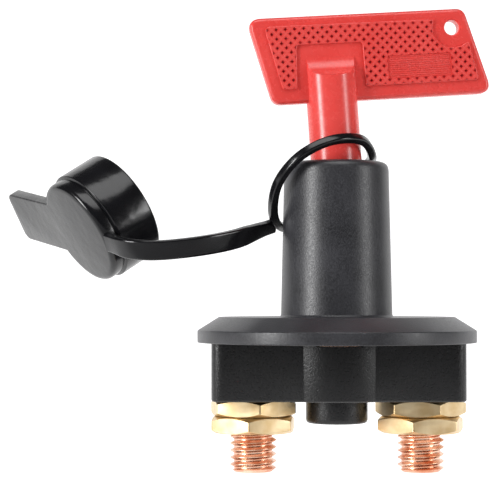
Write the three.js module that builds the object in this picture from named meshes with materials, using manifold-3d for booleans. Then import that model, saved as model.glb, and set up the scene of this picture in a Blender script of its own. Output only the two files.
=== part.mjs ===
// Battery isolator switch with a removable key and a tethered splash cap.
// Millimetres, +Z up. The origin is the centre of the flange's underside, on the barrel's axis,
// +X points at the right-hand stud and +Y at the back.

import * as THREE from 'three';
import { mergeVertices } from 'three/addons/utils/BufferGeometryUtils.js';
import Module from 'manifold-3d';

const wasm = await Module();
wasm.setup();

// ---------------------------------------------------------------- driving sizes

const ROUND = 48;                    // sides of a large round
const SMALL_ROUND = 24;              // sides of a small round
const RUN = 0.3;                     // running clearance between turning pieces
const FIT = 0.1;                     // clearance between pieces that are put together and stay

// flange and barrel, one moulding
const FLANGE_R = 30;
const FLANGE_RIM_H = 2.6;
const FLANGE_H = 5.5;
const FLANGE_CHAMFER_W = 4.65;
const BARREL_FOOT_R = 12;
const BARREL_TOP_R = 11.25;
const BARREL_TOP_Z = 38.8;
const BARREL_FILLET = 2.9;
const SHOULDER_W = 1;                // the shoulder in the bore holds the socket down
const SHOULDER_DEPTH = 11.8;         // below the barrel's mouth
const PANEL_HOLE_R = 2.6;            // for M5 screws through the flange
const PANEL_HOLE_Y = 21;

// base housing
const BASE_H = 12.2;
const WING_HALF_X = 26.8;
const WING_HALF_Y = 11.8;
const WING_CORNER_R = 2.8;
const WING_WALL = 2.2;
const BULGE_WALL = 1.3;
const FLOOR_T = 3;
const BOSS_WALL = 1.45;
const BOSS_DEPTH = 5.1;
const BOSS_EDGE_R = 1;
const BOSS_FLOOR_T = 1.5;
const WINDOW_HALF_X = 5;
const WINDOW_H = 0.65;

// housing screws, self-tapping, from below into the flange
const SCREW_IN_X = 3.6;              // in from the ends and sides of the base
const SCREW_IN_Y = 3.4;
const SCREW_R = 1.45;
const SCREW_HEAD_R = 2.3;
const SCREW_HEAD_H = 2;
const SCREW_BITE = 2.8;
const SCREW_POST_R = 2.3;
const SCREW_SLOT_W = 0.8;
const SCREW_SLOT_D = 0.9;

// terminal studs and nuts
const STUD_X = 18;
const STUD_R = 4.98;
const THREAD_PITCH = 1.5;
const THREAD_DEPTH = 0.85;
const STUD_REACH = 15.4;             // below the base
const STUD_HEAD_HALF_Y = 5.7;
const STUD_HEAD_IN = 8.5;            // from the stud's axis towards the switch's axis
const STUD_HEAD_OUT = 5.8;
const STUD_HEAD_T = 3;
const NUT_FLATS = 17;
const NUT_T = 3.5;
const NUT_SPACE = 0.1;
const NUT_TURNS = {
  nut_left_inner: 8.8,
  nut_left_outer: -5.3,
  nut_right_inner: 19.7,
  nut_right_outer: -14.4,
};

// contact carriage
const DISC_R = 12.2;
const DISC_T = 1.5;
const DISC_CLEAR = 0.5;
const DISC_TOP_Z = -0.25;
const STEM_R = 3.9;
const SPRING_SEAT_R = 6.4;
const SPRING_SEAT_T = 1.6;
const TAIL_R = 3.3;
const TAIL_L = 6.4;
const PIN_R = 1.2;
const PIN_CLEAR = 1.05;              // left under the pin when the carriage is down
const CLIP_R = 6.1;
const CLIP_T = 0.8;
const CLIP_GROOVE_R = 3.3;
const WASHER_T = 0.4;
const WIRE_R = 0.45;
const SPRING_INSIDE = 0.55;          // room between the spring and the tail it stands on
const SPRING_OUTSIDE = 0.45;         // room between the spring and its bore
const SPRING_TURNS = 6;

// stem guide, pressed into the foot of the barrel
const GUIDE_FLANGE_T = 2.8;
const GUIDE_WALL = 1.1;
const GUIDE_TUBE_DOWN = 0.4;         // the tube ends this far below the top of the pin

// key socket, the turning cam in the barrel
const RAMP_TURN = Math.PI / 2;       // the quarter turn that works the switch
const RAMP_DWELL = 20 * Math.PI / 180;
const RAMP_CLEAR = 0.4;
const RAMP_T = 0.6;                  // the ramp where it is thinnest
const TONGUE_SLOT_X = 11.4;
const SLOT_FLOOR_DEPTH = 16.8;       // below the barrel's mouth
const SEAL_R = 0.65;
const SEAL_Z = 17;

// key
const KEY_LEAN = 4 * Math.PI / 180;  // the key sits loose and leans to the left
const KEY_YAW = 7 * Math.PI / 180;
const SHAFT_R = 5.5;
const SHAFT_SLACK = 1.8;             // the mouth is this much larger, so the key can lean
const SHAFT_DEPTH = 8;               // below the barrel's mouth
const TONGUE_W = 8;
const TONGUE_T = 4;
const TONGUE_L = 6.7;
const PLATE_T = 3.5;
const PLATE_LOW = 13.1;              // heights above the barrel's mouth
const PLATE_TOP = 31.9;
const PLATE_LEFT_LOW = -12.95;
const PLATE_LEFT_TOP = -17.5;
const PLATE_RIGHT_LOW = 35.4;
const PLATE_RIGHT_TOP = 30.2;
const PLATE_CORNER_R = 2.4;
const PLATE_CHAMFER = 0.9;
const SCOOP_TOP = 23.5;
const SCOOP_LOW = 18.4;
const RING_HOLE_R = 1.6;
const RING_HOLE_IN = 2.9;            // in from the right and top edges
const RING_HOLE_DOWN = 4.1;

// splash cap and its tether, one soft moulding
const CAP_FIT = 0.15;                // the cap is a tight push fit on the barrel
const CAP_H = 12.7;
const CAP_WALL = 1.2;
const CAP_PLATE_IN = 0.6;            // the closed end is this much smaller than the cup
const CAP_PLATE_T = 3;
const CAP_EDGE_R = 0.9;
const CAP_PLACE = [-56.2, 4.1, -15.3];
const CAP_AIM = 29.7 * Math.PI / 180;      // which way the mouth looks, from +X towards +Y
const CAP_TIP = 58.6 * Math.PI / 180;      // how far the cap's axis is tipped from upright
const TAB_TURN = 101.7 * Math.PI / 180;    // where the pull tab leaves the plate
const TAB_REACH = 28.7;
const TAB_W = 12;
const TAB_CORNER_R = 2.2;
const STRAP_W = 4.2;
const STRAP_T = 1.7;
const STRAP_GAP = 1;                 // the soft moulding is open here, where it bends
const STRAP_END_TILT = 27 * Math.PI / 180;
const STRAP_MID_TILT = 8 * Math.PI / 180;
const TETHER_SECTION = 1.8;
const TETHER_RING_R = 13.6;

// Routes of the soft ring and strap, chosen by hand, with heights counted from the barrel's mouth.
const RING_ROUTE = [
  [SHAFT_R + 2.2, 1.4, 1.9],
  [SHAFT_R - 0.7, -SHAFT_R - 0.8, 4.4],
  [-2, -10.7, 3.7],
  [-8.3, -10.9, 0.4],
  [-12.8, -7.1, -5.1],
  [-13.6, -0.9, -11.5],
  [-11, 6.9, -13.7],
  [-4.8, 12.7, -10.9],
  [2.3, 13.7, -5.1],
  [7.2, 9.3, 0.1],
];
const STRAP_ROUTE = [
  [-48.3, -5.4, -17.5],
  [-44.5, -9.5, -18.8],
  [-39, -11.6, -19.3],
  [-31, -10.5, -18.6],
  [-22.5, -5.5, -16.9],
  [-15.4, 1.6, -14.2],
];

// ---------------------------------------------------------------- sizes that follow

const MOUTH_BORE_R = SHAFT_R + SHAFT_SLACK;
const SOCKET_BORE_R = MOUTH_BORE_R + SHOULDER_W;
const SHOULDER_Z = BARREL_TOP_Z - SHOULDER_DEPTH;
const SLOT_FLOOR_Z = BARREL_TOP_Z - SLOT_FLOOR_DEPTH;
const BULGE_R = DISC_R + DISC_CLEAR + BULGE_WALL;
const SPRING_R = TAIL_R + SPRING_INSIDE + WIRE_R;
const SPRING_BORE_R = SPRING_R + WIRE_R + SPRING_OUTSIDE;
const BOSS_R = SPRING_BORE_R + BOSS_WALL;
const GUIDE_TUBE_R = STEM_R + RUN + GUIDE_WALL;
const SCREW_X = WING_HALF_X - SCREW_IN_X;
const SCREW_Y = WING_HALF_Y - SCREW_IN_Y;
const CAP_R = BARREL_TOP_R + CAP_FIT + CAP_WALL;
const CAP_PLATE_R = CAP_R - CAP_PLATE_IN;

const BASE_Z = -BASE_H;
const FLOOR_Z = BASE_Z + FLOOR_T;
const BOSS_Z = BASE_Z - BOSS_DEPTH;
const SPRING_FLOOR_Z = BOSS_Z + BOSS_FLOOR_T;
const STUD_END_Z = BASE_Z - STUD_REACH;
const UPPER_NUT_Z = BASE_Z;
const LOWER_NUT_Z = UPPER_NUT_Z - NUT_T - NUT_SPACE;
const NUTS_END_Z = LOWER_NUT_Z - NUT_T;

const DISC_LOW_Z = DISC_TOP_Z - DISC_T;
const SEAT_TOP_Z = DISC_LOW_Z - FIT;
const SEAT_LOW_Z = SEAT_TOP_Z - SPRING_SEAT_T;
const WASHER_Z = DISC_TOP_Z + FIT;
const CLIP_Z = WASHER_Z + WASHER_T + FIT;
// the carriage goes down until the disc bridges the two stud heads
const TRAVEL = DISC_LOW_Z - (FLOOR_Z + STUD_HEAD_T) - FIT;
const PIN_Z = GUIDE_FLANGE_T + TRAVEL + PIN_R + PIN_CLEAR;
const PIN_TOP_Z = PIN_Z + PIN_R;
const GUIDE_TUBE_TOP_Z = PIN_TOP_Z - GUIDE_TUBE_DOWN;
const SOCKET_BODY_Z = PIN_TOP_Z + RAMP_CLEAR + RAMP_T;

// ---------------------------------------------------------------- materials

const plastic = (color, roughness) => new THREE.MeshStandardMaterial({ color, roughness, metalness: 0 });
const metal = (color, roughness) => new THREE.MeshStandardMaterial({ color, roughness, metalness: 1 });

const HOUSING = plastic('#2f2f33', 0.5);
const NYLON = plastic('#d9d5c8', 0.5);
const KEY_RED = plastic('#df3a38', 0.3);
const SOFT_BLACK = plastic('#17171a', 0.2);
const RUBBER = plastic('#141414', 0.8);
const BRASS = metal('#d9b770', 0.3);
const COPPER = metal('#d08a68', 0.35);
const STEEL = metal('#b9bcc0', 0.3);

// ---------------------------------------------------------------- helpers

// Drops everything but positions and joins the shared corners.
function weld(geometry) {
  const bare = geometry.clone();
  for (const name of ['normal', 'uv']) {
    bare.deleteAttribute(name);
  }
  return mergeVertices(bare, 1e-4);
}

function toSolid(geometry) {
  const welded = weld(geometry);
  return new wasm.Manifold(new wasm.Mesh({
    numProp: 3,
    vertProperties: new Float32Array(welded.attributes.position.array),
    triVerts: new Uint32Array(welded.index.array),
  }));
}

function toGeometry(solid) {
  const mesh = solid.getMesh();
  const geometry = new THREE.BufferGeometry();
  geometry.setAttribute('position', new THREE.BufferAttribute(new Float32Array(mesh.vertProperties), 3));
  geometry.setIndex(new THREE.BufferAttribute(new Uint32Array(mesh.triVerts), 1));
  geometry.computeVertexNormals();
  return geometry;
}

// Joins the first list of geometries and cuts the second list from them.
function carve(joined, cuts = []) {
  let solid = joined.map(toSolid).reduce((whole, next) => whole.add(next));
  for (const cut of cuts) {
    solid = solid.subtract(toSolid(cut));
  }
  return toGeometry(solid);
}

function lathe(profile, sides = ROUND) {
  const points = profile.map(([r, z]) => new THREE.Vector2(r, z));
  const geometry = new THREE.LatheGeometry(points, sides);
  geometry.rotateX(Math.PI / 2);
  return geometry;
}

function rod(radius, low, high, sides = SMALL_ROUND) {
  return lathe([[0, low], [radius, low], [radius, high], [0, high]], sides);
}

// A ring or tube: the profile closes on itself.
function tube(inner, outer, low, high, sides = SMALL_ROUND) {
  return lathe([[inner, low], [outer, low], [outer, high], [inner, high], [inner, low]], sides);
}

function block(x0, x1, y0, y1, z0, z1) {
  const geometry = new THREE.BoxGeometry(x1 - x0, y1 - y0, z1 - z0);
  geometry.translate((x0 + x1) / 2, (y0 + y1) / 2, (z0 + z1) / 2);
  return geometry;
}

// Points of an arc in a profile, from one angle to another.
function arc(r, z, radius, from, to, steps = 5) {
  const points = [];
  for (let i = 0; i <= steps; i += 1) {
    const angle = from + (to - from) * i / steps;
    points.push([r + radius * Math.cos(angle), z + radius * Math.sin(angle)]);
  }
  return points;
}

// A shape with every corner of the outline rounded.
function roundedShape(corners, radius, steps = 5) {
  const points = [];
  corners.forEach((corner, i) => {
    const here = new THREE.Vector2(...corner);
    const before = new THREE.Vector2(...corners.at(i - 1)).sub(here).normalize();
    const after = new THREE.Vector2(...corners[(i + 1) % corners.length]).sub(here).normalize();
    const half = Math.acos(THREE.MathUtils.clamp(before.dot(after), -1, 1)) / 2;
    const middle = before.clone().add(after).normalize();
    const centre = here.clone().addScaledVector(middle, radius / Math.sin(half));
    const start = here.clone().addScaledVector(before, radius / Math.tan(half)).sub(centre);
    const end = here.clone().addScaledVector(after, radius / Math.tan(half)).sub(centre);
    const sweep = Math.atan2(start.cross(end), start.dot(end));
    for (let k = 0; k <= steps; k += 1) {
      points.push(start.clone().rotateAround(new THREE.Vector2(), sweep * k / steps).add(centre));
    }
  });
  return new THREE.Shape(points);
}

function slab(shape, low, high) {
  const geometry = new THREE.ExtrudeGeometry(shape, { depth: high - low, bevelEnabled: false });
  geometry.translate(0, 0, low);
  return geometry;
}

function rectangle(halfX, halfY) {
  return [[-halfX, -halfY], [halfX, -halfY], [halfX, halfY], [-halfX, halfY]];
}

const assembly = new THREE.Group();

function place(name, geometry, material, parent = assembly) {
  const mesh = new THREE.Mesh(geometry, material);
  mesh.name = name;
  parent.add(mesh);
  return mesh;
}

// The tether and the cap hang from the barrel's mouth.
const tether = new THREE.Group();
tether.position.z = BARREL_TOP_Z;
assembly.add(tether);

const CORNERS = [[1, 1], [-1, 1], [-1, -1], [1, -1]];
const SIDES = { left: -1, right: 1 };

// ---------------------------------------------------------------- barrel housing

function barrelHousing() {
  const fillet = Math.min(BARREL_FILLET, 0.8 * (BARREL_TOP_R - MOUTH_BORE_R));
  const body = lathe([
    [SOCKET_BORE_R, 0],
    [FLANGE_R, 0],
    [FLANGE_R, FLANGE_RIM_H],
    [FLANGE_R - FLANGE_CHAMFER_W, FLANGE_H],
    [BARREL_FOOT_R, FLANGE_H],
    ...arc(BARREL_TOP_R - fillet, BARREL_TOP_Z - fillet, fillet, 0, Math.PI / 2),
    [MOUTH_BORE_R, BARREL_TOP_Z],
    [MOUTH_BORE_R, SHOULDER_Z],
    [SOCKET_BORE_R, SHOULDER_Z],
    [SOCKET_BORE_R, 0],
  ]);
  const cuts = [];
  for (const side of [-1, 1]) {
    const hole = rod(PANEL_HOLE_R, -1, FLANGE_H + 1);
    hole.translate(0, side * PANEL_HOLE_Y, 0);
    cuts.push(hole);
  }
  for (const [sx, sy] of CORNERS) {
    const pilot = rod(SCREW_R + FIT, -1, SCREW_BITE + FIT);
    pilot.translate(sx * SCREW_X, sy * SCREW_Y, 0);
    cuts.push(pilot);
  }
  place('barrel_housing', carve([body], cuts), HOUSING);
}

// ---------------------------------------------------------------- base housing

function baseHousing() {
  const wings = slab(roundedShape(rectangle(WING_HALF_X, WING_HALF_Y), WING_CORNER_R), BASE_Z, 0);
  const bulge = rod(BULGE_R, BASE_Z, 0, ROUND);
  const boss = lathe([
    [0, BOSS_Z],
    ...arc(BOSS_R - BOSS_EDGE_R, BOSS_Z + BOSS_EDGE_R, BOSS_EDGE_R, -Math.PI / 2, 0),
    [BOSS_R, FLOOR_Z],
    [0, FLOOR_Z],
  ], SMALL_ROUND);

  const inX = WING_HALF_X - WING_WALL;
  const inY = WING_HALF_Y - WING_WALL;
  let hollow = toSolid(block(-inX, inX, -inY, inY, FLOOR_Z, 1));
  hollow = hollow.add(toSolid(rod(BULGE_R - BULGE_WALL, FLOOR_Z, 1, ROUND)));
  for (const [sx, sy] of CORNERS) {
    const post = rod(SCREW_POST_R, BASE_Z, 2);
    post.translate(sx * SCREW_X, sy * SCREW_Y, 0);
    hollow = hollow.subtract(toSolid(post));
    const web = block(SCREW_X, inX + 1, SCREW_Y - SCREW_POST_R, inY + 1, BASE_Z, 2);
    web.scale(sx, sy, 1);
    if (sx * sy < 0) {
      web.index.array.reverse();
    }
    hollow = hollow.subtract(toSolid(web));
  }

  const cuts = [toGeometry(hollow), rod(SPRING_BORE_R, SPRING_FLOOR_Z, FLOOR_Z + 1)];
  cuts.push(block(-WINDOW_HALF_X, WINDOW_HALF_X, -BULGE_R - 1, -BULGE_R / 2, -WINDOW_H, 1));
  for (const side of Object.values(SIDES)) {
    const hole = rod(STUD_R + FIT, BASE_Z - 1, FLOOR_Z + 1);
    hole.translate(side * STUD_X, 0, 0);
    cuts.push(hole);
  }
  for (const [sx, sy] of CORNERS) {
    const clear = rod(SCREW_R + FIT, BASE_Z - 1, 1);
    const sink = rod(SCREW_HEAD_R + FIT, BASE_Z - 1, BASE_Z + SCREW_HEAD_H + FIT);
    for (const hole of [clear, sink]) {
      hole.translate(sx * SCREW_X, sy * SCREW_Y, 0);
      cuts.push(hole);
    }
  }
  place('base_housing', carve([wings, bulge, boss], cuts), HOUSING);
}

function housingScrews() {
  CORNERS.forEach(([sx, sy], i) => {
    const head = rod(SCREW_HEAD_R, BASE_Z, BASE_Z + SCREW_HEAD_H);
    const shank = rod(SCREW_R, BASE_Z + SCREW_HEAD_H / 2, SCREW_BITE, SMALL_ROUND / 2);
    const slot = block(-SCREW_HEAD_R, SCREW_HEAD_R, -SCREW_SLOT_W / 2, SCREW_SLOT_W / 2,
      BASE_Z - 1, BASE_Z + SCREW_SLOT_D);
    const cross = slot.clone().rotateZ(Math.PI / 2);
    const geometry = carve([head, shank], [slot, cross]);
    const mesh = place(`housing_screw_${i + 1}`, geometry, STEEL);
    mesh.position.set(sx * SCREW_X, sy * SCREW_Y, 0);
  });
}

// ---------------------------------------------------------------- terminals

function stud(name, side) {
  const root = STUD_R - THREAD_DEPTH;
  const profile = [[0, STUD_END_Z], [root, STUD_END_Z]];
  for (let z = STUD_END_Z + THREAD_DEPTH; z < NUTS_END_Z - THREAD_PITCH / 2; z += THREAD_PITCH) {
    profile.push([STUD_R, z], [root, z + THREAD_PITCH / 2]);
  }
  profile.push([STUD_R, NUTS_END_Z], [STUD_R, FLOOR_Z + 1], [0, FLOOR_Z + 1]);
  const shank = lathe(profile, SMALL_ROUND);
  const middle = (STUD_HEAD_OUT - STUD_HEAD_IN) / 2;
  const halfX = (STUD_HEAD_OUT + STUD_HEAD_IN) / 2;
  const head = slab(roundedShape(rectangle(halfX, STUD_HEAD_HALF_Y), 1), FLOOR_Z, FLOOR_Z + STUD_HEAD_T);
  head.translate(side * middle, 0, 0);
  const mesh = place(name, carve([shank, head]), COPPER);
  mesh.position.x = side * STUD_X;
}

function nut(name, side, top) {
  const corner = NUT_FLATS / 2 / Math.cos(Math.PI / 6);
  const face = NUT_FLATS / 2 - 0.2;
  const slope = (corner - face) * Math.tan(Math.PI / 6);
  const hexagon = new THREE.CylinderGeometry(corner, corner, NUT_T, 6);
  hexagon.rotateX(Math.PI / 2);
  const turned = lathe([
    [0, -NUT_T / 2],
    [face, -NUT_T / 2],
    [corner, -NUT_T / 2 + slope],
    [corner, NUT_T / 2 - slope],
    [face, NUT_T / 2],
    [0, NUT_T / 2],
  ], 48);
  let solid = toSolid(hexagon).intersect(toSolid(turned));
  solid = solid.subtract(toSolid(rod(STUD_R + FIT, -NUT_T, NUT_T)));
  const mesh = place(name, toGeometry(solid), BRASS);
  mesh.rotation.z = THREE.MathUtils.degToRad(NUT_TURNS[name]);
  mesh.position.set(side * STUD_X, 0, top - NUT_T / 2);
}

// ---------------------------------------------------------------- contact carriage

function contactCarriage() {
  const grooveLow = CLIP_Z - FIT;
  const grooveHigh = CLIP_Z + CLIP_T + FIT;
  const carrier = lathe([
    [0, SEAT_LOW_Z - TAIL_L],
    [TAIL_R, SEAT_LOW_Z - TAIL_L],
    [TAIL_R, SEAT_LOW_Z],
    [SPRING_SEAT_R, SEAT_LOW_Z],
    [SPRING_SEAT_R, SEAT_TOP_Z],
    [STEM_R, SEAT_TOP_Z],
    [STEM_R, grooveLow],
    [CLIP_GROOVE_R, grooveLow],
    [CLIP_GROOVE_R, grooveHigh],
    [STEM_R, grooveHigh],
    [STEM_R, PIN_TOP_Z + RUN],
    [0, PIN_TOP_Z + RUN],
  ], SMALL_ROUND);
  const pinHole = rod(PIN_R + FIT, -STEM_R - 1, STEM_R + 1);
  pinHole.rotateX(Math.PI / 2).translate(0, 0, PIN_Z);
  place('contact_carrier', carve([carrier], [pinHole]), NYLON);

  const pinHalf = SOCKET_BORE_R - 2 * RUN;
  const pin = rod(PIN_R, -pinHalf, pinHalf, SMALL_ROUND / 2);
  pin.rotateX(Math.PI / 2).translate(0, 0, PIN_Z);
  place('follower_pin', pin, STEEL);

  const hole = STEM_R + FIT;
  place('contact_disc', tube(hole, DISC_R, DISC_LOW_Z, DISC_TOP_Z, ROUND), COPPER);
  place('disc_washer', tube(hole, CLIP_R, WASHER_Z, WASHER_Z + WASHER_T), STEEL);
  place('retaining_clip', tube(CLIP_GROOVE_R + FIT, CLIP_R, CLIP_Z, CLIP_Z + CLIP_T), STEEL);
}

// A helix for the return spring; its first and last turns lie close to flat.
class SpringCurve extends THREE.Curve {
  constructor(radius, low, high, turns) {
    super();
    Object.assign(this, { radius, low, high, turns });
  }

  getPoint(t, target = new THREE.Vector3()) {
    const angle = t * this.turns * 2 * Math.PI;
    const rise = THREE.MathUtils.smoothstep(t, 0, 1) * 0.35 + t * 0.65;
    return target.set(this.radius * Math.cos(angle), this.radius * Math.sin(angle),
      this.low + (this.high - this.low) * rise);
  }
}

function returnSpring() {
  const wire = new THREE.Shape().absarc(0, 0, WIRE_R, 0, 2 * Math.PI);
  const curve = new SpringCurve(SPRING_R, SPRING_FLOOR_Z + WIRE_R + FIT, SEAT_LOW_Z - WIRE_R - FIT, SPRING_TURNS);
  const geometry = new THREE.ExtrudeGeometry(wire, {
    steps: SPRING_TURNS * 16,
    curveSegments: 3,
    bevelEnabled: false,
    extrudePath: curve,
  });
  place('return_spring', weld(geometry), STEEL);
}

// ---------------------------------------------------------------- stem guide and key socket

function stemGuide() {
  const recess = CLIP_Z + CLIP_T + RUN;
  const body = lathe([
    [CLIP_R + RUN, 0],
    [SOCKET_BORE_R - FIT, 0],
    [SOCKET_BORE_R - FIT, GUIDE_FLANGE_T],
    [GUIDE_TUBE_R, GUIDE_FLANGE_T],
    [GUIDE_TUBE_R, GUIDE_TUBE_TOP_Z],
    [STEM_R + RUN, GUIDE_TUBE_TOP_Z],
    [STEM_R + RUN, recess],
    [CLIP_R + RUN, recess],
    [CLIP_R + RUN, 0],
  ], ROUND);
  const slot = PIN_R + RUN;
  const cut = block(-slot, slot, -SOCKET_BORE_R, SOCKET_BORE_R, GUIDE_FLANGE_T, GUIDE_TUBE_TOP_Z + 1);
  place('stem_guide', carve([body], [cut]), NYLON);
}

// Height of the cam ring's lower face at an angle round the socket. The pin lies along Y at rest, and
// it meets lower and lower ramp as the socket turns clockwise.
function rampHeight(angle) {
  const high = PIN_TOP_Z + RAMP_CLEAR;
  const round = THREE.MathUtils.euclideanModulo(angle - Math.PI / 2, Math.PI);
  if (round > RAMP_TURN + RAMP_DWELL) {
    return high;
  }
  return high - TRAVEL * Math.min(round / RAMP_TURN, 1);
}

function keySocket() {
  const outer = SOCKET_BORE_R - RUN;
  const inner = GUIDE_TUBE_R + 0.4;
  const top = SHOULDER_Z - RUN;
  const sealMiddle = SOCKET_BORE_R - FIT - SEAL_R;
  const groove = sealMiddle - SEAL_R - FIT;
  const body = lathe([
    [inner, SOCKET_BODY_Z - FIT],
    [outer, SOCKET_BODY_Z - FIT],
    [outer, SEAL_Z - SEAL_R - FIT],
    [groove, SEAL_Z - SEAL_R - FIT],
    [groove, SEAL_Z + SEAL_R + FIT],
    [outer, SEAL_Z + SEAL_R + FIT],
    [outer, top],
    [0, top],
    [0, SOCKET_BODY_Z + 1],
    [inner, SOCKET_BODY_Z + 1],
    [inner, SOCKET_BODY_Z - FIT],
  ], ROUND);

  const ramp = tube(inner, outer, 0, SOCKET_BODY_Z, ROUND);
  const corner = ramp.attributes.position;
  for (let i = 0; i < corner.count; i += 1) {
    if (corner.getZ(i) < SOCKET_BODY_Z / 2) {
      corner.setZ(i, rampHeight(Math.atan2(corner.getY(i), corner.getX(i)) + 1e-6));
    }
  }

  const halfY = TONGUE_T / 2 + RUN;
  const slot = block(-TONGUE_SLOT_X / 2, TONGUE_SLOT_X / 2, -halfY, halfY, SLOT_FLOOR_Z, top + 1);
  slot.rotateZ(KEY_YAW);
  place('key_socket', carve([body, ramp], [slot]), NYLON);

  const seal = lathe(arc(sealMiddle, SEAL_Z, SEAL_R, 0, 2 * Math.PI, 10), 48);
  place('socket_seal', weld(seal), RUBBER);
}

// ---------------------------------------------------------------- key

function key() {
  const corners = [
    [PLATE_LEFT_LOW, PLATE_LOW],
    [PLATE_RIGHT_LOW, PLATE_LOW],
    [PLATE_RIGHT_TOP, PLATE_TOP],
    [PLATE_LEFT_TOP, PLATE_TOP],
  ];
  const outline = roundedShape(corners, PLATE_CORNER_R);
  const plate = new THREE.ExtrudeGeometry(outline, {
    depth: PLATE_T - 2 * PLATE_CHAMFER,
    bevelThickness: PLATE_CHAMFER,
    bevelSize: PLATE_CHAMFER,
    bevelOffset: -PLATE_CHAMFER,
    bevelSegments: 1,
  });
  plate.translate(0, 0, -(PLATE_T / 2 - PLATE_CHAMFER));
  plate.rotateX(Math.PI / 2);

  // the shaft runs up over the plate on both faces and ends in two slanted cuts
  const shaft = rod(SHAFT_R, -SHAFT_DEPTH, SCOOP_TOP);
  const half = PLATE_T / 2;
  const slant = new THREE.Shape([
    new THREE.Vector2(half, SCOOP_TOP),
    new THREE.Vector2(SHAFT_R, SCOOP_LOW),
    new THREE.Vector2(SHAFT_R + 1, SCOOP_LOW),
    new THREE.Vector2(SHAFT_R + 1, SCOOP_TOP + 1),
    new THREE.Vector2(half, SCOOP_TOP + 1),
  ]);
  const wedge = slab(slant, -SHAFT_R - 1, SHAFT_R + 1);
  wedge.rotateX(Math.PI / 2).rotateZ(Math.PI / 2);
  const opposite = wedge.clone().rotateZ(Math.PI);

  const tongueLow = -SHAFT_DEPTH - TONGUE_L + 1;
  const tongue = block(-TONGUE_W / 2, TONGUE_W / 2, -TONGUE_T / 2, TONGUE_T / 2, tongueLow, -SHAFT_DEPTH + 1);

  const hole = rod(RING_HOLE_R, -PLATE_T, PLATE_T);
  hole.rotateX(Math.PI / 2);
  hole.translate(PLATE_RIGHT_TOP - RING_HOLE_IN, 0, PLATE_TOP - RING_HOLE_DOWN);

  const bar = carve([shaft, tongue], [wedge, opposite]);
  const yaw = new THREE.Group();
  yaw.position.z = BARREL_TOP_Z;
  yaw.rotation.z = KEY_YAW;
  assembly.add(yaw);
  const lean = new THREE.Group();
  lean.rotation.y = -KEY_LEAN;
  yaw.add(lean);
  place('key', carve([plate, bar], [hole]), KEY_RED, lean);
}

// ---------------------------------------------------------------- tether

// Bends a lathe ring so that its circle follows the ring's route.
function tetherRing() {
  const half = TETHER_SECTION / 2;
  const corner = 0.5;
  const section = [];
  [[1, 1, 0], [-1, 1, 1], [-1, -1, 2], [1, -1, 3]].forEach(([sr, sz, quarter]) => {
    section.push(...arc(sr * (half - corner), sz * (half - corner), corner,
      quarter * Math.PI / 2, (quarter + 1) * Math.PI / 2, 2));
  });
  section.push(section[0]);
  const geometry = lathe(section.map(([r, z]) => [r + TETHER_RING_R, z]), ROUND);
  const route = new THREE.CatmullRomCurve3(RING_ROUTE.map((p) => new THREE.Vector3(...p)), true);
  const centre = new THREE.Vector3();
  RING_ROUTE.forEach((p) => centre.addScaledVector(new THREE.Vector3(...p), 1 / RING_ROUTE.length));

  const vertex = geometry.attributes.position;
  for (let i = 0; i < vertex.count; i += 1) {
    const turn = Math.atan2(vertex.getY(i), vertex.getX(i)) / (2 * Math.PI);
    const t = THREE.MathUtils.euclideanModulo(Math.round(turn * ROUND) / ROUND, 1);
    const outward = Math.hypot(vertex.getX(i), vertex.getY(i)) - TETHER_RING_R;
    const point = route.getPoint(t);
    const along = route.getTangent(t);
    const away = point.clone().sub(centre);
    away.addScaledVector(along, -away.dot(along)).normalize();
    const across = new THREE.Vector3().crossVectors(away, along);
    point.addScaledVector(away, outward).addScaledVector(across, vertex.getZ(i));
    vertex.setXYZ(i, point.x, point.y, point.z);
  }
  place('tether_ring', weld(geometry), SOFT_BLACK, tether);
}

const strapRoute = new THREE.CatmullRomCurve3(STRAP_ROUTE.map((p) => new THREE.Vector3(...p)));

// The strap's middle, its length direction, its width direction and its face direction at a share of
// its length.
function strapFrame(share) {
  const point = strapRoute.getPointAt(share);
  const along = strapRoute.getTangentAt(share);
  const tilt = STRAP_END_TILT + (STRAP_MID_TILT - STRAP_END_TILT) * Math.sin(Math.PI * share);
  const flat = new THREE.Vector3(along.x, along.y, 0).normalize();
  const facing = new THREE.Vector3(flat.y, -flat.x, 0);
  const width = new THREE.Vector3(0, 0, Math.cos(tilt)).addScaledVector(facing, Math.sin(tilt));
  width.addScaledVector(along, -width.dot(along)).normalize();
  const face = new THREE.Vector3().crossVectors(along, width);
  return { point, along, width, face };
}

// A length of strap: a straight rounded bar, bent along the route between two shares of its length.
function strapPiece(name, from, to) {
  const length = strapRoute.getLength();
  const start = from / length;
  const stop = 1 - to / length;
  const outline = roundedShape(rectangle(STRAP_W / 2, STRAP_T / 2), 0.45, 2);
  const geometry = new THREE.ExtrudeGeometry(outline, { depth: 1, steps: 14, bevelEnabled: false });
  const vertex = geometry.attributes.position;
  for (let i = 0; i < vertex.count; i += 1) {
    const { point, width, face } = strapFrame(start + (stop - start) * vertex.getZ(i));
    point.addScaledVector(width, vertex.getX(i)).addScaledVector(face, vertex.getY(i));
    vertex.setXYZ(i, point.x, point.y, point.z);
  }
  place(name, weld(geometry), SOFT_BLACK, tether);
}

function tetherStrap() {
  const length = strapRoute.getLength();
  const half = (length - STRAP_GAP) / 2;
  strapPiece('strap_outer', 0, length - half);
  strapPiece('strap_inner', length - half, 0);
}

// ---------------------------------------------------------------- splash cap

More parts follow.
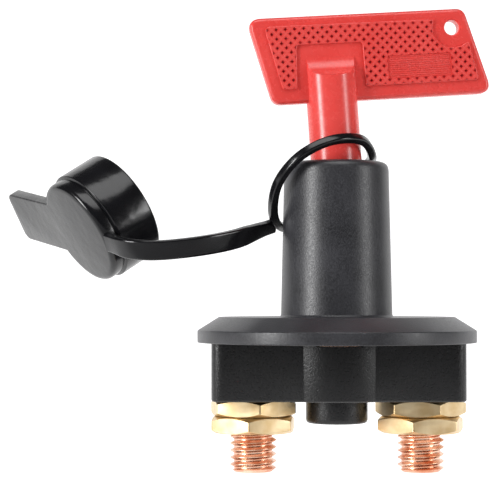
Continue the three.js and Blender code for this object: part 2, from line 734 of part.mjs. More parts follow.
function splashCap() {
  const inside = CAP_R - CAP_WALL;
  const cup = lathe([
    [0, 0],
    ...arc(CAP_PLATE_R - CAP_EDGE_R, CAP_EDGE_R, CAP_EDGE_R, -Math.PI / 2, 0, 3),
    [CAP_PLATE_R, CAP_PLATE_T],
    [CAP_R, CAP_PLATE_T + 0.3],
    [CAP_R, CAP_H - 0.4],
    [CAP_R - 0.4, CAP_H],
    [inside, CAP_H],
    [inside, CAP_PLATE_T],
    [0, CAP_PLATE_T],
  ]);
  const tabOutline = roundedShape([[0, -TAB_W / 2], [TAB_REACH, -TAB_W / 2], [TAB_REACH, TAB_W / 2],
    [0, TAB_W / 2]], TAB_CORNER_R);
  const tab = slab(tabOutline, 0, CAP_PLATE_T);
  tab.rotateZ(TAB_TURN);
  const aim = new THREE.Group();
  aim.position.set(...CAP_PLACE);
  aim.rotation.z = CAP_AIM;
  tether.add(aim);
  const tip = new THREE.Group();
  tip.rotation.y = CAP_TIP;
  aim.add(tip);
  place('splash_cap', carve([cup, tab]), SOFT_BLACK, tip);
}

// ---------------------------------------------------------------- the switch

barrelHousing();
baseHousing();
housingScrews();
for (const [word, side] of Object.entries(SIDES)) {
  stud(`stud_${word}`, side);
  nut(`nut_${word}_inner`, side, UPPER_NUT_Z);
  nut(`nut_${word}_outer`, side, LOWER_NUT_Z);
}
contactCarriage();
returnSpring();
stemGuide();
keySocket();
key();
tetherRing();
tetherStrap();
splashCap();

export default assembly;
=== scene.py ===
# %% [markdown]
# # A battery isolator switch with a red key and a tethered splash cap
#
# The imported model is loaded first and never moved. It carries the bodies that
# turn and slide, so each piece made below rides on one of them, all but the
# three lengths of the strap. Lengths are written in millimetres, because that is
# how a maker measures such a switch, and turned into metres in one place.

# %% The frame
import math

import bmesh
import bpy
from mathutils import Matrix, Vector


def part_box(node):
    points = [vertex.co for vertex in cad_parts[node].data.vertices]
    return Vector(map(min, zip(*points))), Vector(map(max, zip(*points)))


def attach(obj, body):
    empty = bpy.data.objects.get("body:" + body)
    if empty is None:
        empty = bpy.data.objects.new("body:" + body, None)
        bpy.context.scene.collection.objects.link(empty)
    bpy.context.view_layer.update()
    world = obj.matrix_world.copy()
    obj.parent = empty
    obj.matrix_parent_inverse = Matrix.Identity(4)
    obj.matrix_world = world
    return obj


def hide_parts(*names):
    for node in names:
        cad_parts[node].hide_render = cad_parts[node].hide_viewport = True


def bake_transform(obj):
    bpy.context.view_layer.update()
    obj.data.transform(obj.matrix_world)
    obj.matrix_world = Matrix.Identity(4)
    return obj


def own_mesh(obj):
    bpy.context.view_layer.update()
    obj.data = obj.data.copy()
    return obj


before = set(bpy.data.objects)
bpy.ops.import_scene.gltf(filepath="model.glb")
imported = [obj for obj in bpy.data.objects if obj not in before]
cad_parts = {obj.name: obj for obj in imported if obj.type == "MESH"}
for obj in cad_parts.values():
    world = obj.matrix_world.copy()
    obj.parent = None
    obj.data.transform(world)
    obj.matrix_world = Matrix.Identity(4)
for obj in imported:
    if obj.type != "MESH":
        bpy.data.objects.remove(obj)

MM = 0.001
scene = bpy.context.scene
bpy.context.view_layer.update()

# %% [markdown]
# ## Camera, floor and light
#
# The switch is looked at from straight in front, a little above its base, from
# nearly forty centimetres away with a long lens. A camera that is tipped up a
# little keeps its sensor centred, so every other view stays centred too. A shift
# lens would keep the uprights exactly parallel, but at this distance the
# difference is only about the thickness of a line.

# %% Camera
camera = bpy.data.objects.new("camera", bpy.data.cameras.new("camera"))
scene.collection.objects.link(camera)
scene.camera = camera
camera.data.sensor_width = 36
camera.data.lens = 124.24
camera.data.clip_start = 0.02
camera.location = (-18.6 * MM, -370 * MM, 9.1 * MM)
camera.rotation_euler = (math.radians(91.99), 0, math.radians(0.06))
print("camera at", [round(v, 4) for v in camera.location])

# %% [markdown]
# A sweep of white paper is a floor and a wall in one curved sheet. One edge is
# drawn as a line of a few points and extruded sideways. The curve has no corner,
# so there is no horizon behind the switch.

# %% Paper sweep
def colour(code):
    """An sRGB hex code as the linear colour that a shader works in."""
    parts = [int(code[i:i + 2], 16) / 255 for i in (1, 3, 5)]
    linear = [c / 12.92 if c <= 0.04045 else ((c + 0.055) / 1.055) ** 2.4 for c in parts]
    return (*linear, 1)


def add(tree, kind, inputs=None, **settings):
    """Adds a node, sets it up, and links or fills its inputs."""
    made = tree.nodes.new(kind)
    for name, value in settings.items():
        setattr(made, name, value)
    for name, value in (inputs or {}).items():
        if isinstance(value, bpy.types.NodeSocket):
            tree.links.new(value, made.inputs[name])
        else:
            made.inputs[name].default_value = value
    return made


def new_finish(name):
    """An empty material and its node tree."""
    made = bpy.data.materials.new(name)
    made.use_nodes = True
    made.node_tree.nodes.clear()
    return made, made.node_tree


paper, tree = new_finish("white_seamless_paper")
place = add(tree, "ShaderNodeTexCoord").outputs["Object"]
fibres = add(tree, "ShaderNodeTexNoise", {"Vector": place, "Scale": 1 / (2 * MM), "Detail": 3})
tint = add(tree, "ShaderNodeMix", {0: fibres.outputs["Fac"], 6: colour("#bcbcbc"), 7: colour("#c4c4c4")},
           data_type="RGBA")
# the paper is lit from behind itself, from just in front of the switch to the back
along = add(tree, "ShaderNodeSeparateXYZ", {0: place}).outputs["Y"]
glow = add(tree, "ShaderNodeMapRange", {"Value": along, "From Min": -0.07, "From Max": -0.02, "To Max": 1.0},
           interpolation_type="SMOOTHSTEP")
shader = add(tree, "ShaderNodeBsdfPrincipled", {
    "Base Color": tint.outputs[2], "Roughness": 0.9, "Emission Color": colour("#ffffff"),
    "Emission Strength": glow.outputs["Result"]})
add(tree, "ShaderNodeOutputMaterial", {"Surface": shader.outputs["BSDF"]})

sweep = bmesh.new()
floor_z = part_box("stud_left")[0].z - 0.2 * MM
line = [sweep.verts.new((-3, -1.2, floor_z)), sweep.verts.new((-3, 0.9, floor_z))]
for step in range(1, 13):
    turn = math.radians(90 * step / 12)
    line.append(sweep.verts.new((-3, 0.9 + 0.7 * math.sin(turn), floor_z + 0.7 * (1 - math.cos(turn)))))
line.append(sweep.verts.new((-3, 1.6, floor_z + 2.2)))
edges = [sweep.edges.new(pair) for pair in zip(line, line[1:])]
grown = bmesh.ops.extrude_edge_only(sweep, edges=edges)["geom"]
moved = [part for part in grown if isinstance(part, bmesh.types.BMVert)]
bmesh.ops.translate(sweep, verts=moved, vec=(6, 0, 0))
bmesh.ops.recalc_face_normals(sweep, faces=sweep.faces)
bmesh.ops.reverse_faces(sweep, faces=[f for f in sweep.faces if f.normal.z < -0.01])
mesh = bpy.data.meshes.new("paper_sweep")
sweep.to_mesh(mesh)
sweep.free()
mesh.materials.append(paper)
mesh.shade_smooth()
paper_sweep = bpy.data.objects.new("paper_sweep", mesh)
scene.collection.objects.link(paper_sweep)
print("paper sweep with", len(mesh.polygons), "faces")

# %% [markdown]
# Black glossy plastic shows the lamps more than it shows itself. Two tall soft
# boxes stand at the sides, turned towards the switch, so they draw the long
# light bands down the barrel. The side of the camera stays rather dark. A sheet
# of light above brightens the upper faces and the paper.

# %% Lamps
def soft_box(name, place_at, aim_at, width, height, power, tone="#ffffff"):
    lamp = bpy.data.lights.new(name, "AREA")
    lamp.shape = "RECTANGLE"
    lamp.size, lamp.size_y, lamp.energy = width, height, power
    lamp.color = colour(tone)[:3]
    made = bpy.data.objects.new(name, lamp)
    made.location = place_at
    made.rotation_mode = "QUATERNION"
    made.rotation_quaternion = (Vector(aim_at) - Vector(place_at)).to_track_quat("-Z", "Y")
    scene.collection.objects.link(made)
    return made


soft_box("left_soft_box", (-0.55, -0.34, 0.08), (-0.02, 0, 0.02), 0.15, 0.4, 3.8)
soft_box("right_soft_box", (0.55, -0.28, 0.08), (0, 0, 0.02), 0.13, 0.4, 1.45)
soft_box("overhead_sheet", (0, -0.32, 0.62), (0, 0, 0.02), 0.6, 0.36, 2.5)

# the room is dim, but the paper looks white from every side
world = bpy.data.worlds.new("studio_air")
scene.world = world
world.use_nodes = True
tree = world.node_tree
tree.nodes.clear()
seen = add(tree, "ShaderNodeLightPath").outputs["Is Camera Ray"]
strength = add(tree, "ShaderNodeMapRange", {"Value": seen, "To Min": 0.045, "To Max": 1.0})
air = add(tree, "ShaderNodeBackground", {"Color": colour("#ffffff"), "Strength": strength.outputs["Result"]})
add(tree, "ShaderNodeOutputWorld", {"Surface": air.outputs["Background"]})
scene.view_settings.view_transform = "Standard"

# %% [markdown]
# ## Tools used by every piece
#
# A corner on a moulded or turned part is never quite sharp. The helper below
# takes a line of corners, each with the size of its round, and returns the same
# line with its corners rounded. It serves as the profile of a turned piece and
# as the outline of a flat one. A bevel on the finished mesh would do it too, but
# here every corner can have a round of its own.

# %% Rounded lines
def softened(corners, closed=False, steps=4):
    """Corners are (x, y) or (x, y, round), in millimetres."""
    points = []
    count = len(corners)
    for i, (x, y, *size) in enumerate(corners):
        here = Vector((x, y))
        if not size or (not closed and i in (0, count - 1)):
            points.append(here)
            continue
        before = Vector(corners[i - 1][:2]) - here
        after = Vector(corners[(i + 1) % count][:2]) - here
        half = before.angle(after) / 2
        reach = min(size[0] / math.tan(half), before.length * 0.49, after.length * 0.49)
        start = here + before.normalized() * reach
        end = here + after.normalized() * reach
        for k in range(steps + 1):
            t = k / steps
            points.append(start.lerp(here, t).lerp(here.lerp(end, t), t))
    return points


print("a square with one round corner has", len(softened([(0, 0), (1, 0, 0.2), (1, 1), (0, 1)])), "points")

# %% [markdown]
# Round pieces are turned, as on a lathe: the profile is drawn in the plane of X
# and Z and spun about Z. The spin joins its last step to its first, doubles are
# merged at the axis, and then the faces are made to point outwards.

# %% Turning and placing
def turned(corners, turns=96, closed=True, steps=4):
    bm = bmesh.new()
    points = [bm.verts.new((p.x * MM, 0, p.y * MM)) for p in softened(corners, closed, steps)]
    edges = [bm.edges.new(pair) for pair in zip(points, points[1:])]
    if closed:
        edges.append(bm.edges.new((points[-1], points[0])))
    bmesh.ops.spin(bm, geom=points + edges, cent=(0, 0, 0), axis=(0, 0, 1), angle=2 * math.pi,
                   steps=turns, use_merge=True)
    bmesh.ops.remove_doubles(bm, verts=bm.verts, dist=0.002 * MM)
    bmesh.ops.recalc_face_normals(bm, faces=bm.faces)
    return bm


def slab(corners, low, high, steps=5):
    """A flat piece: the outline lies in the plane of X and Y, and is pulled from low to high."""
    bm = bmesh.new()
    outline = softened(corners, True, steps)
    face = bm.faces.new([bm.verts.new((p.x * MM, p.y * MM, low * MM)) for p in outline])
    pulled = bmesh.ops.extrude_face_region(bm, geom=[face])["geom"]
    top = [part for part in pulled if isinstance(part, bmesh.types.BMVert)]
    bmesh.ops.translate(bm, verts=top, vec=(0, 0, (high - low) * MM))
    bmesh.ops.recalc_face_normals(bm, faces=bm.faces)
    return bm


def rod(radius, low, high, sides=64):
    bm = bmesh.new()
    bmesh.ops.create_cone(bm, cap_ends=True, segments=sides, radius1=radius * MM, radius2=radius * MM,
                          depth=(high - low) * MM)
    bmesh.ops.translate(bm, verts=bm.verts, vec=(0, 0, (high + low) / 2 * MM))
    return bm


def bar(low, high):
    """A plain box between two corners."""
    bm = bmesh.new()
    bmesh.ops.create_cube(bm, size=1)
    size = [b - a for a, b in zip(low, high)]
    middle = [(a + b) / 2 for a, b in zip(low, high)]
    bmesh.ops.scale(bm, verts=bm.verts, vec=[s * MM for s in size])
    bmesh.ops.translate(bm, verts=bm.verts, vec=[m * MM for m in middle])
    return bm


def moved_to(bm, x=0, y=0, z=0):
    bmesh.ops.translate(bm, verts=bm.verts, vec=(x * MM, y * MM, z * MM))
    return bm


print("a 10 mm rod has", len(rod(5, 0, 10).faces), "faces")

# %% [markdown]
# A mesh becomes a piece of the scene with its finish on it. Holes are cut, and
# moulded shapes are joined, with an exact boolean that is worked out at once, so
# no modifier is left on the piece.

# %% Pieces
def piece(name, bm, *finishes):
    mesh = bpy.data.meshes.new(name)
    bm.to_mesh(mesh)
    bm.free()
    for finish in finishes:
        mesh.materials.append(finish)
    mesh.shade_smooth()
    made = bpy.data.objects.new(name, mesh)
    scene.collection.objects.link(made)
    return made


def carve(obj, tool, how="DIFFERENCE"):
    """Cuts the tool from the piece, joins it on, or keeps what both share."""
    cutter = piece("cutter", tool)
    step = obj.modifiers.new("carve", "BOOLEAN")
    step.object, step.operation, step.solver = cutter, how, "EXACT"
    worked = obj.evaluated_get(bpy.context.evaluated_depsgraph_get())
    before, obj.data = obj.data, bpy.data.meshes.new_from_object(worked)
    obj.modifiers.clear()
    obj.data.name = obj.name
    bpy.data.meshes.remove(before)
    spent = cutter.data
    bpy.data.objects.remove(cutter)
    bpy.data.meshes.remove(spent)
    return obj


def crisp(obj, degrees=32):
    """Smooth shading that stops at real edges."""
    obj.data.set_sharp_from_angle(angle=math.radians(degrees))
    return obj


def settle(obj, body, slot, *nodes):
    """Gives the piece its body and hides the CAD nodes that it stands for; the slot is not used."""
    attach(obj, body)
    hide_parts(*nodes)
    print(obj.name, "has", len(obj.data.polygons), "faces and rides on", body)


# %% [markdown]
# ## Finishes
#
# The housing is glass-filled nylon, a hard dark grey plastic that comes from a
# spark-eroded mould. The mould leaves a fine even grain, which breaks up every
# reflection. The grain is noise about a third of a millimetre across, a little
# coarser than the real one so that it can be seen, and it feeds the bump, the
# roughness and a slight mottle. The base is a separate moulding, less glossy
# than the barrel, and its colour is made blacker as painted shade for the shade
# under the flange. Inner pieces are of the same nylon, uncoloured.

# %% Moulded nylon
def moulded_nylon(name, dark, light, rough, grain_depth, gloss=0.5):
    made, tree = new_finish(name)
    place = add(tree, "ShaderNodeTexCoord").outputs["Object"]
    grain = add(tree, "ShaderNodeTexNoise", {"Vector": place, "Scale": 1 / (0.34 * MM), "Detail": 2.5})
    cloud = add(tree, "ShaderNodeTexNoise", {"Vector": place, "Scale": 1 / (9 * MM), "Detail": 2})
    mottle = add(tree, "ShaderNodeMath", {0: grain.outputs["Fac"], 1: cloud.outputs["Fac"]}, operation="ADD")
    share = add(tree, "ShaderNodeMapRange", {"Value": mottle.outputs["Value"],
                                             "From Min": 0.75, "From Max": 1.25})
    tint = add(tree, "ShaderNodeMix", {0: share.outputs["Result"], 6: colour(dark), 7: colour(light)},
               data_type="RGBA")
    shine = add(tree, "ShaderNodeMapRange", {"Value": grain.outputs["Fac"], "From Min": 0.3, "From Max": 0.7,
                                             "To Min": rough - 0.05, "To Max": rough + 0.1})
    bump = add(tree, "ShaderNodeBump", {"Height": grain.outputs["Fac"], "Distance": grain_depth * MM,
                                        "Strength": 0.6})
    shader = add(tree, "ShaderNodeBsdfPrincipled", {
        "Base Color": tint.outputs[2], "Roughness": shine.outputs["Result"], "IOR": 1.53,
        "Specular IOR Level": gloss, "Normal": bump.outputs["Normal"]})
    add(tree, "ShaderNodeOutputMaterial", {"Surface": shader.outputs["BSDF"]})
    return made


housing_nylon = moulded_nylon("glass_filled_nylon", "#252528", "#3a3a3e", 0.36, 0.05)
# the base copy of the nylon is darker: painted shade for the shade under the flange
base_nylon_painted_shade = moulded_nylon("smooth_glass_filled_nylon_painted_shade", "#050506", "#141416", 0.3, 0.13, gloss=0.4)
natural_nylon = moulded_nylon("natural_nylon", "#cfcab9", "#ded9c9", 0.42, 0.03)
print("finishes:", housing_nylon.name, base_nylon_painted_shade.name, natural_nylon.name)

# %% [markdown]
# The key is ABS, coloured through, from a polished mould. It has a soft shine
# and a thin glow where light gets into the plastic. Faint flow marks run along
# the plate, and handling has left the shine uneven.
#
# The grip panels have a knurl of small sunk diamonds, two millimetres apart in
# rows one millimetre apart, each row set over by half. Turning the coordinates
# by 45 degrees makes that a plain square lattice: the larger of the two
# distances from a lattice point is then small in a pit and largest on the fine
# ridges between pits. It darkens the pits with painted shade and pales the
# ridges with a painted highlight. The pits themselves are cut into the mesh
# further on, at the same places. The key stands a little askew in the switch, so
# the Mapping node first turns the pattern to lie straight on the plate.

# %% Key plastic and knurled grip
KEY_YAW, KEY_LEAN, MOUTH_Z = 7, 4, 38.8
key_seat = (Matrix.Translation((0, 0, MOUTH_Z * MM)) @ Matrix.Rotation(math.radians(KEY_YAW), 4, "Z")
            @ Matrix.Rotation(math.radians(-KEY_LEAN), 4, "Y"))
PITCH = 2
FIRST_PIT = Vector((-13.4, 0, 29.1))
askew = Matrix.Rotation(math.radians(45), 4, "Y") @ key_seat.inverted()


def red_plastic(name, knurled=False):
    made, tree = new_finish(name)
    place = add(tree, "ShaderNodeTexCoord").outputs["Object"]
    flow = add(tree, "ShaderNodeTexNoise", {"Vector": place, "Scale": 1 / (14 * MM), "Detail": 3,
                                            "Distortion": 0.6})
    handled = add(tree, "ShaderNodeTexNoise", {"Vector": place, "Scale": 1 / (1.1 * MM), "Detail": 4})
    share = add(tree, "ShaderNodeMapRange", {"Value": flow.outputs["Fac"],
                                             "From Min": 0.35, "From Max": 0.65})
    tint = add(tree, "ShaderNodeMix", {0: share.outputs["Result"], 6: colour("#e74641"),
                                       7: colour("#ee504b")}, data_type="RGBA")
    shine = add(tree, "ShaderNodeMapRange", {"Value": handled.outputs["Fac"], "From Min": 0.3, "From Max": 0.7,
                                             "To Min": 0.22, "To Max": 0.3})
    bump = add(tree, "ShaderNodeBump", {"Height": handled.outputs["Fac"], "Distance": 0.01 * MM,
                                        "Strength": 0.12})
    if knurled:
        size = math.sqrt(2) / (PITCH * MM)
        corner = askew @ (key_seat @ (FIRST_PIT * MM))
        mapping = add(tree, "ShaderNodeMapping", {
            "Vector": place, "Scale": (size, size, size), "Rotation": askew.to_euler("XYZ"),
            "Location": size * (askew.translation - corner) + Vector((0.5, 0, 0.5))}, vector_type="POINT")
        cell = add(tree, "ShaderNodeVectorMath", {0: mapping.outputs["Vector"]}, operation="FRACTION")
        centred = add(tree, "ShaderNodeVectorMath", {0: cell.outputs["Vector"], 1: (0.5, 0.5, 0.5)},
                      operation="SUBTRACT")
        apart = add(tree, "ShaderNodeVectorMath", {0: centred.outputs["Vector"]}, operation="ABSOLUTE")
        spread = add(tree, "ShaderNodeSeparateXYZ", {0: apart.outputs["Vector"]})
        reach = add(tree, "ShaderNodeMath", {0: spread.outputs["X"], 1: spread.outputs["Z"]},
                    operation="MAXIMUM").outputs["Value"]
        pit = add(tree, "ShaderNodeMapRange", {"Value": reach, "From Min": 0.12, "From Max": 0.27})
        ridge = add(tree, "ShaderNodeMapRange", {"Value": reach, "From Min": 0.4, "From Max": 0.5})
        # painted shade: the pits are darkened to a deep red
        pit_shade = add(tree, "ShaderNodeMix", {0: pit.outputs["Result"], 6: colour("#8f1115"),
                                           7: tint.outputs[2]}, data_type="RGBA")
        # painted highlight: the ridges between the pits are paled
        ridge_highlight = add(tree, "ShaderNodeMath", {0: ridge.outputs["Result"], 1: 0.3}, operation="MULTIPLY")
        tint = add(tree, "ShaderNodeMix", {0: ridge_highlight.outputs["Value"], 6: pit_shade.outputs[2],
                                           7: colour("#f07f7a")}, data_type="RGBA")
    shader = add(tree, "ShaderNodeBsdfPrincipled", {
        "Base Color": tint.outputs[2], "Roughness": shine.outputs["Result"], "IOR": 1.54,
        "Subsurface Weight": 0.12, "Subsurface Scale": 1.2 * MM, "Subsurface Radius": (1, 0.2, 0.15),
        "Normal": bump.outputs["Normal"]})
    add(tree, "ShaderNodeOutputMaterial", {"Surface": shader.outputs["BSDF"]})
    return made


key_red, key_grip = red_plastic("red_abs"), red_plastic("knurled_red_abs", knurled=True)
print("grip pattern turned by", [round(math.degrees(a), 1) for a in askew.to_euler("XYZ")])

# %% [markdown]
# The cap, its strap and the ring are one moulding in soft PVC. The material is
# almost black and quite glossy, with a slow ripple from the way it cools, which
# makes its reflections wander. The rubber of the inner seal is duller.

# %% Soft PVC and rubber
def soft_black(name, dark, light, rough, ripple_depth):
    made, tree = new_finish(name)
    place = add(tree, "ShaderNodeTexCoord").outputs["Object"]
    ripple = add(tree, "ShaderNodeTexNoise", {"Vector": place, "Scale": 1 / (5 * MM), "Detail": 2})
    skin = add(tree, "ShaderNodeTexNoise", {"Vector": place, "Scale": 1 / (0.5 * MM), "Detail": 3})
    tint = add(tree, "ShaderNodeMix", {0: ripple.outputs["Fac"], 6: colour(dark), 7: colour(light)},
               data_type="RGBA")
    shine = add(tree, "ShaderNodeMapRange", {"Value": skin.outputs["Fac"], "From Min": 0.3, "From Max": 0.7,
                                             "To Min": rough, "To Max": rough + 0.07})
    slow = add(tree, "ShaderNodeBump", {"Height": ripple.outputs["Fac"], "Distance": ripple_depth * MM,
                                        "Strength": 0.4})
    bump = add(tree, "ShaderNodeBump", {"Height": skin.outputs["Fac"], "Distance": 0.01 * MM, "Strength": 0.3,
                                        "Normal": slow.outputs["Normal"]})
    shader = add(tree, "ShaderNodeBsdfPrincipled", {
        "Base Color": tint.outputs[2], "Roughness": shine.outputs["Result"], "IOR": 1.44,
        "Normal": bump.outputs["Normal"]})
    add(tree, "ShaderNodeOutputMaterial", {"Surface": shader.outputs["BSDF"]})
    return made


soft_pvc = soft_black("soft_pvc", "#0d0d0f", "#17171a", 0.15, 0.3)
rubber = soft_black("nitrile_rubber", "#131313", "#202020", 0.6, 0.1)
print("soft finishes:", soft_pvc.name, rubber.name)

# %% [markdown]
# The metals differ only in colour and in how they were worked. Brass nuts are
# cut from bar, so they carry fine lines across their flats. Copper studs are
# rolled, and their copper darkens a little in patches. Steel is zinc plated and
# slightly cloudy. Stretching the noise along one axis draws the lines of the
# tool.

# %% Metals
def worked_metal(name, dark, light, rough, line_mm, stretch):
    made, tree = new_finish(name)
    place = add(tree, "ShaderNodeTexCoord").outputs["Object"]
    lines = add(tree, "ShaderNodeMapping", {"Vector": place, "Scale": stretch})
    tooled = add(tree, "ShaderNodeTexNoise", {"Vector": lines.outputs["Vector"], "Scale": 1 / (line_mm * MM),
                                              "Detail": 3})
    patch = add(tree, "ShaderNodeTexNoise", {"Vector": place, "Scale": 1 / (3.5 * MM), "Detail": 3})
    share = add(tree, "ShaderNodeMapRange", {"Value": patch.outputs["Fac"],
                                             "From Min": 0.35, "From Max": 0.65})
    tint = add(tree, "ShaderNodeMix", {0: share.outputs["Result"], 6: colour(dark), 7: colour(light)},
               data_type="RGBA")
    shine = add(tree, "ShaderNodeMapRange", {"Value": tooled.outputs["Fac"], "From Min": 0.3, "From Max": 0.7,
                                             "To Min": rough - 0.06, "To Max": rough + 0.08})
    bump = add(tree, "ShaderNodeBump", {"Height": tooled.outputs["Fac"], "Distance": 0.02 * MM,
                                        "Strength": 0.35})
    shader = add(tree, "ShaderNodeBsdfPrincipled", {
        "Base Color": tint.outputs[2], "Metallic": 1.0, "Roughness": shine.outputs["Result"],
        "Normal": bump.outputs["Normal"]})
    add(tree, "ShaderNodeOutputMaterial", {"Surface": shader.outputs["BSDF"]})
    return made


brass = worked_metal("cut_brass", "#d6b98a", "#e8d2aa", 0.36, 0.5, (0.15, 0.15, 1))
copper = worked_metal("rolled_copper", "#cf8d6c", "#f2cdb6", 0.26, 0.4, (1, 1, 0.3))
steel = worked_metal("zinc_plated_steel", "#a7abb0", "#c9ccd0", 0.3, 0.6, (1, 1, 1))
print("metals:", brass.name, copper.name, steel.name)

# %% [markdown]
# ## Barrel and flange
#
# Barrel and flange are one moulding: a disc with a rim and a sloping shoulder,
# and a barrel that narrows a little so that it leaves its mould. All of it is
# round, so it is turned in one go. Only the screw holes need a cut: two right
# through for the panel's screws, and four blind ones for the screws of the base.

# %% Barrel and flange
RIM_R, RIM_H, FLANGE_H, SLOPE_R = 30, 2.6, 5.5, 25.35
SOCKET_BORE_R, MOUTH_R, SHOULDER_Z = 8.3, 7.3, 27
barrel = piece("barrel_and_flange", turned([
    (SOCKET_BORE_R, 0), (RIM_R, 0, 0.25), (RIM_R, RIM_H, 0.35), (SLOPE_R, FLANGE_H, 0.5),
    (12, FLANGE_H, 0.7), (11.25, MOUTH_Z, 2.9), (MOUTH_R, MOUTH_Z, 0.5), (MOUTH_R, SHOULDER_Z),
    (SOCKET_BORE_R, SHOULDER_Z)], turns=144, steps=6), housing_nylon)
PANEL_HOLE_R, PANEL_HOLE_Y = 2.6, 21
for side in (-1, 1):
    hole = turned([
        (0, -1), (PANEL_HOLE_R, -1), (PANEL_HOLE_R, FLANGE_H - 0.3), (PANEL_HOLE_R + 0.6, FLANGE_H + 0.3),
        (PANEL_HOLE_R + 0.6, FLANGE_H + 1), (0, FLANGE_H + 1)], turns=48)
    carve(barrel, moved_to(hole, y=side * PANEL_HOLE_Y))
SCREW_SPOTS = [(x, y) for x in (23.2, -23.2) for y in (8.4, -8.4)]
for x, y in SCREW_SPOTS:
    carve(barrel, moved_to(rod(1.55, -1, 2.9, 32), x, y))
settle(crisp(barrel), "housing", "housing_black", "barrel_housing")

# %% [markdown]
# ## Base
#
# The base is a thin-walled box with two wings and a round bulge at the front and
# back, where the contact disc needs room. Below it stands a round boss for the
# spring. The outer shapes are joined first, and their lower edges are rounded
# while the mesh is still simple. Then the room inside is cut out.

# %% Base, outside
BASE_H, WING_X, WING_Y, BULGE_R, FLOOR_T = 12.2, 26.8, 11.8, 14, 3
BOSS_R, BOSS_LOW = 6.65, -17.3
base_low = -BASE_H
CORNER_R = 2.8
wings = slab([(WING_X, WING_Y, CORNER_R), (-WING_X, WING_Y, CORNER_R), (-WING_X, -WING_Y, CORNER_R),
              (WING_X, -WING_Y, CORNER_R)], base_low, 0, steps=8)
base = piece("base", wings, base_nylon_painted_shade)
carve(base, rod(BULGE_R, base_low, 0, 128), "UNION")
shell = bmesh.new()
shell.from_mesh(base.data)
bmesh.ops.dissolve_limit(shell, angle_limit=math.radians(1), verts=shell.verts, edges=shell.edges)
rim = [e for e in shell.edges if all(v.co.z < (base_low + 0.01) * MM for v in e.verts)
       and e.calc_face_angle(0) > 1]
bmesh.ops.bevel(shell, geom=rim, offset=0.45 * MM, segments=3, profile=0.5, affect="EDGES", material=-1)
shell.to_mesh(base.data)
shell.free()
carve(base, turned([(0, BOSS_LOW), (BOSS_R, BOSS_LOW, 1), (BOSS_R, base_low + 1), (0, base_low + 1)],
                   closed=False), "UNION")
print("base outside has", len(base.data.polygons), "faces")

# %% Base, inside
WALL, BULGE_WALL = 2.2, 1.3
floor_top = base_low + FLOOR_T
carve(base, bar((WALL - WING_X, WALL - WING_Y, floor_top), (WING_X - WALL, WING_Y - WALL, 1)))
carve(base, rod(BULGE_R - BULGE_WALL, floor_top, 1, 128))
carve(base, rod(5.2, BOSS_LOW + 1.5, floor_top + 1))
for x, y in SCREW_SPOTS:
    carve(base, moved_to(rod(2.3, floor_top - 0.5, 0, 32), x, y), "UNION")
    carve(base, moved_to(rod(1.55, base_low - 1, 1, 32), x, y))
    carve(base, moved_to(rod(2.4, base_low - 1, base_low + 2.1, 32), x, y))
for x in (-18, 18):
    carve(base, moved_to(rod(5.08, base_low - 1, floor_top + 1), x))
# a narrow window under the flange shows the edge of the copper disc
carve(base, bar((-5, -BULGE_R - 1, -0.65), (5, -7, 1)))
settle(crisp(base), "housing", "housing_black", "base_housing")

# %% [markdown]
# ## Screws of the base
#
# Four self-tapping screws hold the base to the flange from below. Each has a
# low domed head with a cross recess. The head is turned, and the cross is two
# bars cut out of it.

# %% Screws
for number, (x, y) in enumerate([(23.2, 8.4), (-23.2, 8.4), (-23.2, -8.4), (23.2, -8.4)], 1):
    screw = piece(f"base_screw_{number}", turned([
        (0, base_low + 0.02), (2.25, base_low + 0.3, 0.4), (2.25, base_low + 2), (1.45, base_low + 2),
        (1.45, 2.2, 0.3), (0, 2.8)], turns=40, closed=False), steel)
    carve(screw, bar((-1.5, -0.32, base_low - 1), (1.5, 0.32, base_low + 1)))
    carve(screw, bar((-0.32, -1.5, base_low - 1), (0.32, 1.5, base_low + 1)))
    screw.data.transform(Matrix.Translation((x * MM, y * MM, 0)))
    settle(crisp(screw), "housing", "steel", f"housing_screw_{number}")

# %% [markdown]
# ## Studs
#
# Each terminal is an M10 stud with a pitch of 1.5 mm. One tooth of the thread is
# drawn as a short line, root to crest to root, and spun round the stud while it
# climbs one pitch for each turn. Where one turn ends the next begins, so merging
# the doubles closes it into one winding surface. Its ends are cut flat and
# filled, and a chamfered rod trims the tip, as a die does.

# %% Studs
STUD_R, THREAD_DEPTH, THREAD_PITCH, STUD_LOW, NUTS_LOW = 4.98, 0.85, 1.5, -27.6, -19.3


def threaded(low, high, turns_of_steps=60):
    root = STUD_R - THREAD_DEPTH
    tooth = softened([(root, 0), (root, 0.19, 0.1), (STUD_R, 0.66, 0.05), (STUD_R, 0.84, 0.05),
                      (root, 1.31, 0.1), (root, THREAD_PITCH)], steps=2)
    turns = math.ceil((high - low) / THREAD_PITCH) + 3
    bm = bmesh.new()
    points = [bm.verts.new((p.x * MM, 0, (low - 2 * THREAD_PITCH + p.y) * MM)) for p in tooth]
    edges = [bm.edges.new(pair) for pair in zip(points, points[1:])]
    bmesh.ops.spin(bm, geom=points + edges, cent=(0, 0, 0), axis=(0, 0, 1), angle=2 * math.pi * turns,
                   dvec=(0, 0, THREAD_PITCH * MM / turns_of_steps), steps=turns_of_steps * turns)
    bmesh.ops.remove_doubles(bm, verts=bm.verts, dist=0.003 * MM)
    for height, way in ((low, -1), (high, 1)):
        cut = bmesh.ops.bisect_plane(bm, geom=bm.verts[:] + bm.edges[:] + bm.faces[:], dist=1e-7,
                                     plane_co=(0, 0, height * MM), plane_no=(0, 0, way), clear_outer=True)
        border = [part for part in cut["geom_cut"] if isinstance(part, bmesh.types.BMEdge)]
        bmesh.ops.holes_fill(bm, edges=border, sides=0)
    bmesh.ops.recalc_face_normals(bm, faces=bm.faces)
    return bm


